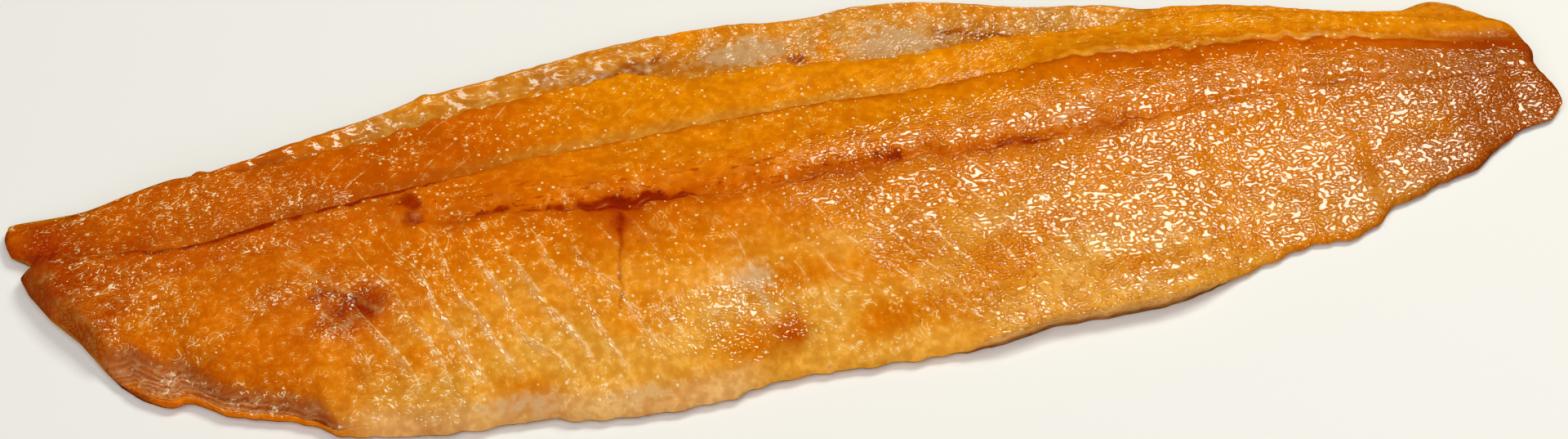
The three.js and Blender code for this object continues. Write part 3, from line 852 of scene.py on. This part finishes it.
# All of it stands up in the oil's surface, by these heights in mm.
WRINKLE_HEIGHT, FIBRE_HEIGHT, BEAD_HEIGHT, SHEET_HEIGHT = 0.19, 0.07, 0.13, 0.11
height = add("Math", (add("Math", (wrinkles, skin["puckered"]), **TIMES)[0], WRINKLE_HEIGHT), **TIMES)[0]
for raised, its_height in (
    (add("Math", (fibres, skin["folded"]), **TIMES)[0], FIBRE_HEIGHT),
    (beads, BEAD_HEIGHT),
    (broken_line, SHEET_HEIGHT),
):
    height = add("Math", (raised, its_height, height), **TIMES_PLUS)[0]
film = add("Bump", {"Height": height, "Strength": 1.0, "Distance": MM})["Normal"]

# The pigments are shaded by blotches, grit and pores.
by_blotch = add("MapRange", (blotches, 0.3, 0.7, 0.88, 1.10), **SMOOTH)[0]
by_grit = add("MapRange", (grit, 0.28, 0.68, 0.93, 1.07), **SMOOTH)[0]
by_pore = add("Math", (add("Math", (pores, skin["beaded"]), **TIMES)[0], -0.45, 1.0), **TIMES_PLUS)[0]
shade = add("Math", (add("Math", (by_blotch, by_grit), **TIMES)[0], by_pore), **TIMES)[0]
painted = add("VectorMath", {0: tint, "Scale": shade}, operation="SCALE")["Vector"]

# Laid over them: painted shade in the creases and painted highlight on the swells; near-white painted
# highlights on the beads, on dashes along the creases and on the broken sheet lines, standing in for glints;
# and the fibres, sheet lines, cracks, membrane and blood.
# A random darker, redder mottle that follows the grit.
grit_mottle = add("MapRange", (grit, 0.36, 0.62, 1, 0), **SMOOTH)[0]
well_puckered = add("Math", (
    add("MapRange", (skin["puckered"], 0.6, 1.0), **SMOOTH)[0],
    add("MapRange", (skin["segment"], -6.0, -2.0), **SMOOTH)[0],  # none towards the blunt end
), **TIMES)[0]
# Painted shade in the creases and painted highlight on the swells between them: the wrinkles stand up only in
# the oil's coat, so their shading is painted into the flesh's colour.
painted_crease_shade = add("MapRange", (from_crease, 0.0, 0.055, 1, 0), **SMOOTH)[0]
painted_swell_highlight = add("MapRange", (from_crease, 0.06, 0.14), **SMOOTH)[0]
uneven = add("MapRange", (blotches, 0.35, 0.6, 0.35, 1), **SMOOTH)[0]
layered = add("Math", (skin["layered"], uneven), **TIMES)[0]
# The folded membrane's fibres, paler on their crests and darker between: partly the layers' own colour and
# partly painted highlight and painted shade of the fibres' relief.
pale_fibres_and_highlight = add("MapRange", (fibres, 0.2, 0.95), **SMOOTH)[0]
dark_fibres_and_shade = add("MapRange", (fibres, -0.95, -0.2, 1, 0), **SMOOTH)[0]
# Painted highlight: short near-white dashes along the creases, broken by the grit, standing in for small glints.
painted_glint_dashes = add("Math", (
    add("MapRange", (from_crease, 0.008, 0.045, 1, 0), **SMOOTH)[0],
    add("MapRange", (grit, 0.51, 0.58), **SMOOTH)[0],
), **TIMES)[0]
# Painted highlights, on the beads and on the broken sheet lines, standing in for their glints.
painted_glints = add("Math", (painted_bead_glints, add("Math", (broken_line, 0.6), **TIMES)[0]), operation="MAXIMUM")[0]
tatters = add("Math", (add("Math", (grit, 0.5), **MINUS)[0], 1.6), **TIMES)[0]
tattered_veil = add("Math", (skin["veil"], tatters), **PLUS)[0]
tattered_blood = add("Math", (skin["blood"], tatters), **PLUS)[0]
membrane = add("MapRange", (tattered_veil, 0.15, 0.95), **SMOOTH)[0]
clotted = add("MapRange", (tattered_blood, 0.15, 1.1), **SMOOTH)[0]
ALL_OVER = 1.0
for figure, where, strength, pigment in (
    (grit_mottle, ALL_OVER, 0.24, "#B65203"),
    (painted_crease_shade, well_puckered, 0.55, "#B4560A"),
    (pale_fibres_and_highlight, layered, 0.4, "#D6A27C"),
    (dark_fibres_and_shade, layered, 0.5, "#74381A"),
    (painted_swell_highlight, skin["puckered"], 0.12, "#EFAE62"),
    (painted_glint_dashes, skin["glint_dash_share"], 1.0, "#FFE2B8"),
    (sheet_line, ALL_OVER, 0.2, "#F0B765"),
    (painted_glints, ALL_OVER, 0.75, "#FFE8BC"),
    (cracks, skin["cracked"], 0.6, "#8A3206"),
    (membrane, ALL_OVER, 0.8, "#C8A078"),
    (clotted, ALL_OVER, 0.85, "#7C2805"),
):
    share = add("Math", (add("Math", (figure, where), **TIMES)[0], strength), **TIMES)[0]
    painted = add("Mix", {0: share, 6: painted, 7: (*linear(pigment), 1)}, data_type="RGBA")[2]

OIL_GLOSS = 1.0  # of the coat where the skin is wet
DRY_LOSS = -0.88  # what dryness takes from it
flesh = add("BsdfPrincipled", {
    "Base Color": painted,
    "Roughness": add("MapRange", (blotches, 0.3, 0.7, 0.2, 0.3), **SMOOTH)[0],
    "IOR": 1.42,
    "Specular IOR Level": 0.05,
    "Subsurface Weight": 0.25,
    "Subsurface Radius": (1.0, 0.35, 0.1),
    "Subsurface Scale": 2.0 * MM,
    "Coat Weight": add("Math", (skin["dry"], DRY_LOSS, OIL_GLOSS), **TIMES_PLUS)[0],
    "Coat Roughness": 0.065,
    "Coat IOR": 1.75,
    "Coat Normal": film,
})["BSDF"]
add("OutputMaterial", {"Surface": flesh})
mesh.materials.append(smoked)

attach(fillet, "root")
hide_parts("fillet")

# ---------------------------------------------------------------------------------------------------------------
# The studio: a plain pale table, a large soft box high behind on the right, two small weak ones behind and
# overhead, a wide one in front that only lifts the shadows, and a camera that looks down from the near left.
# ---------------------------------------------------------------------------------------------------------------

TABLE_SIDE = 8.0
table_mesh = bpy.data.meshes.new("table")
half = TABLE_SIDE / 2
corners = [(-half, -half, 0), (half, -half, 0), (half, half, 0), (-half, half, 0)]
table_mesh.from_pydata(corners, [], [(0, 1, 2, 3)])
table = bpy.data.objects.new("table", table_mesh)
bpy.context.scene.collection.objects.link(table)
# Matt white laminate: pale and even, with only a broad soft sheen.
laminate = bpy.data.materials.new("matt_white_laminate")
laminate.use_nodes = True
laminate_surface = laminate.node_tree.nodes["Principled BSDF"]
laminate_surface.inputs["Base Color"].default_value = (*linear("#F2F4F6"), 1)
laminate_surface.inputs["Roughness"].default_value = 0.7
table_mesh.materials.append(laminate)
table.visible_glossy = False  # no pale haze on the oil where it is seen at a low angle

world = bpy.data.worlds.new("studio_air")
bpy.context.scene.world = world
world.use_nodes = True
air = world.node_tree.nodes["Background"]
air.inputs["Color"].default_value = (1.0, 0.985, 0.96, 1)
air.inputs["Strength"].default_value = 0.03
world.cycles_visibility.glossy = False  # nor any from the room's own light


def soft_box(name, place_at, aim, width, height, watts, colour_hex):
    """A rectangular light that points at aim."""
    light = bpy.data.lights.new(name, "AREA")
    light.shape = "RECTANGLE"
    light.size, light.size_y = width, height
    light.energy = watts
    light.color = linear(colour_hex)
    lamp = bpy.data.objects.new(name, light)
    lamp.location = place_at
    gaze = np.array(aim, float) - np.array(place_at, float)
    yaw = math.atan2(gaze[0], -gaze[1])
    tilt = math.atan2(math.hypot(gaze[0], gaze[1]), -gaze[2])
    lamp.rotation_euler = (tilt, 0, yaw + math.pi)
    bpy.context.scene.collection.objects.link(lamp)
    return lamp


# Place, aim, width and height in metres, then watts and colour.
soft_box("key_box", (0.47, 0.241, 0.825), (0.08, 0.0, 0.0), 0.5, 0.36, 6.3, "#FAF5E0")
soft_box("back_box", (-0.27, 0.29, 1.0), (-0.1, 0.0, 0.0), 0.24, 0.17, 0.8, "#FFF0DC")
soft_box("top_box", (0.19, 0.36, 1.03), (0.01, 0.0, 0.0), 0.2, 0.14, 0.65, "#FAF5E0")
fill_box = soft_box("fill_box", (-0.5, -1.0, 1.15), (0.0, 0.0, 0.0), 2.2, 1.6, 22.6, "#FFFCF8")
fill_box.visible_glossy = False  # it only lifts the shadows, so the oil shows the key's glints alone

AZIMUTH, ELEVATION, DISTANCE = math.radians(-12), math.radians(45), 1.0
AIM = (-0.00586, -0.00797, 0.005)
camera_data = bpy.data.cameras.new("camera")
camera_data.sensor_width = 36
camera_data.lens = 113
camera = bpy.data.objects.new("camera", camera_data)
camera.location = (
    AIM[0] + DISTANCE * math.sin(AZIMUTH) * math.cos(ELEVATION),
    AIM[1] - DISTANCE * math.cos(AZIMUTH) * math.cos(ELEVATION),
    AIM[2] + DISTANCE * math.sin(ELEVATION),
)
camera.rotation_euler = (math.pi / 2 - ELEVATION, 0, AZIMUTH)
bpy.context.scene.collection.objects.link(camera)
bpy.context.scene.camera = camera
view = bpy.context.scene.view_settings
view.view_transform = "Standard"
# The camera's tone: shadows deepen a little and the brightest glints roll off.
TONE = ((0.03, 0.013), (0.09, 0.078), (0.28, 0.292), (0.6, 0.605))
WHITE_POINT = (1.0, 0.93)
ALL_CHANNELS = 3
view.use_curve_mapping = True
tone = view.curve_mapping
tone.use_clip = False
tone.curves[ALL_CHANNELS].points[1].location = WHITE_POINT
for light_in, light_out in TONE:
    tone.curves[ALL_CHANNELS].points.new(light_in, light_out)
tone.update()
